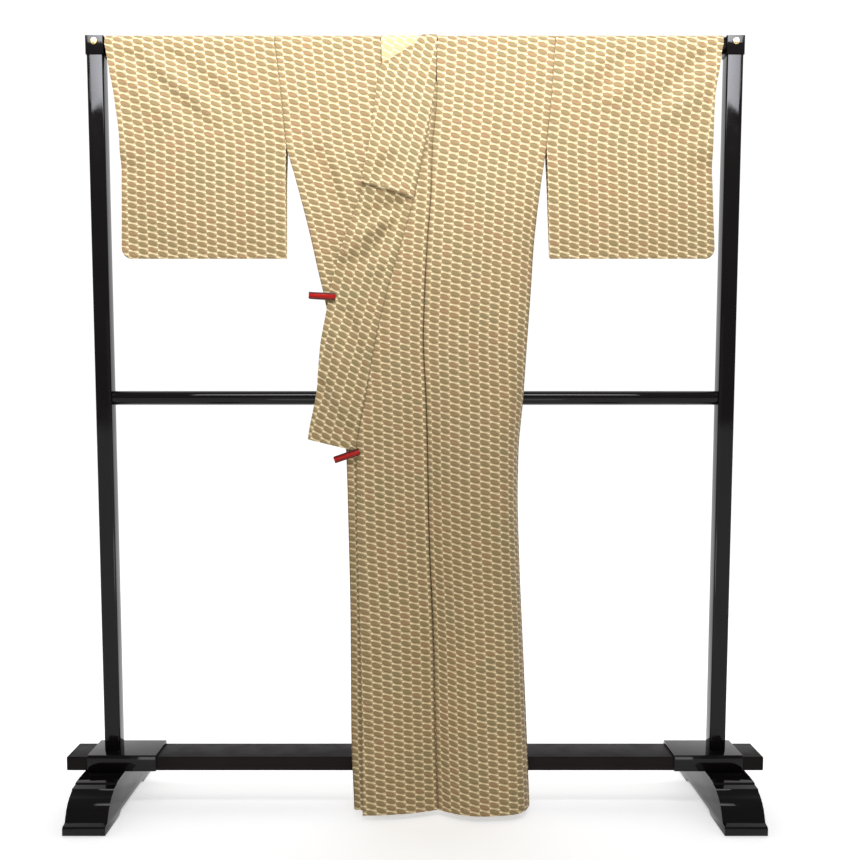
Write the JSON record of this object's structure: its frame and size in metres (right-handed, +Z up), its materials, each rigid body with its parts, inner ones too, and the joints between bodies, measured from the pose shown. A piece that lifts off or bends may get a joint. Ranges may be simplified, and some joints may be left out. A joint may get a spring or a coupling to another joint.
{
  "type": "summer kimono hung on a lacquered display rack",
  "caption": "Unlined kimono hung by its sleeves over the rod of a black lacquered floor rack, its fronts crossed and clipped into a narrow column, sleeves spread flat.",
  "frame": {"origin": "on the floor, midway between the rack's posts and midway between the toes of its feet", "axes": "+Z up; +X along the rod to the viewer's right; the kimono's front faces -Y"},
  "size_m": [1.484, 0.394, 1.6119],
  "materials": {
    "cloth": "thin plain-weave summer cloth, matt, with a small woven-look repeat",
    "lacquer": "black gloss lacquer on wood",
    "stud_brass": "satin",
    "clip_plastic": "red, semi-gloss",
    "clip_spring": "satin"
  },
  "bodies": {
    "root": {"rod": "lacquer", "middle_bar": "lacquer", "beam": "lacquer", "post_left": "lacquer", "post_right": "lacquer", "post_cap_left": "lacquer", "post_cap_right": "lacquer", "stud_left": "stud_brass", "stud_right": "stud_brass", "saddle_left": "lacquer", "saddle_right": "lacquer", "foot_left": "lacquer", "foot_right": "lacquer", "front_right": "cloth", "back_right": "cloth", "front_left": "cloth", "back_left": "cloth", "sleeve_right": "cloth", "sleeve_left": "cloth", "okumi_outer": "cloth", "okumi_inner": "cloth", "collar_outer": "cloth", "collar_inner": "cloth", "over_collar": "cloth", "clip_upper_front_leaf": "clip_plastic", "clip_upper_back_leaf": "clip_plastic", "clip_upper_barrel": "clip_spring", "clip_lower_front_leaf": "clip_plastic", "clip_lower_back_leaf": "clip_plastic", "clip_lower_barrel": "clip_spring"}
  },
  "joints": []
}
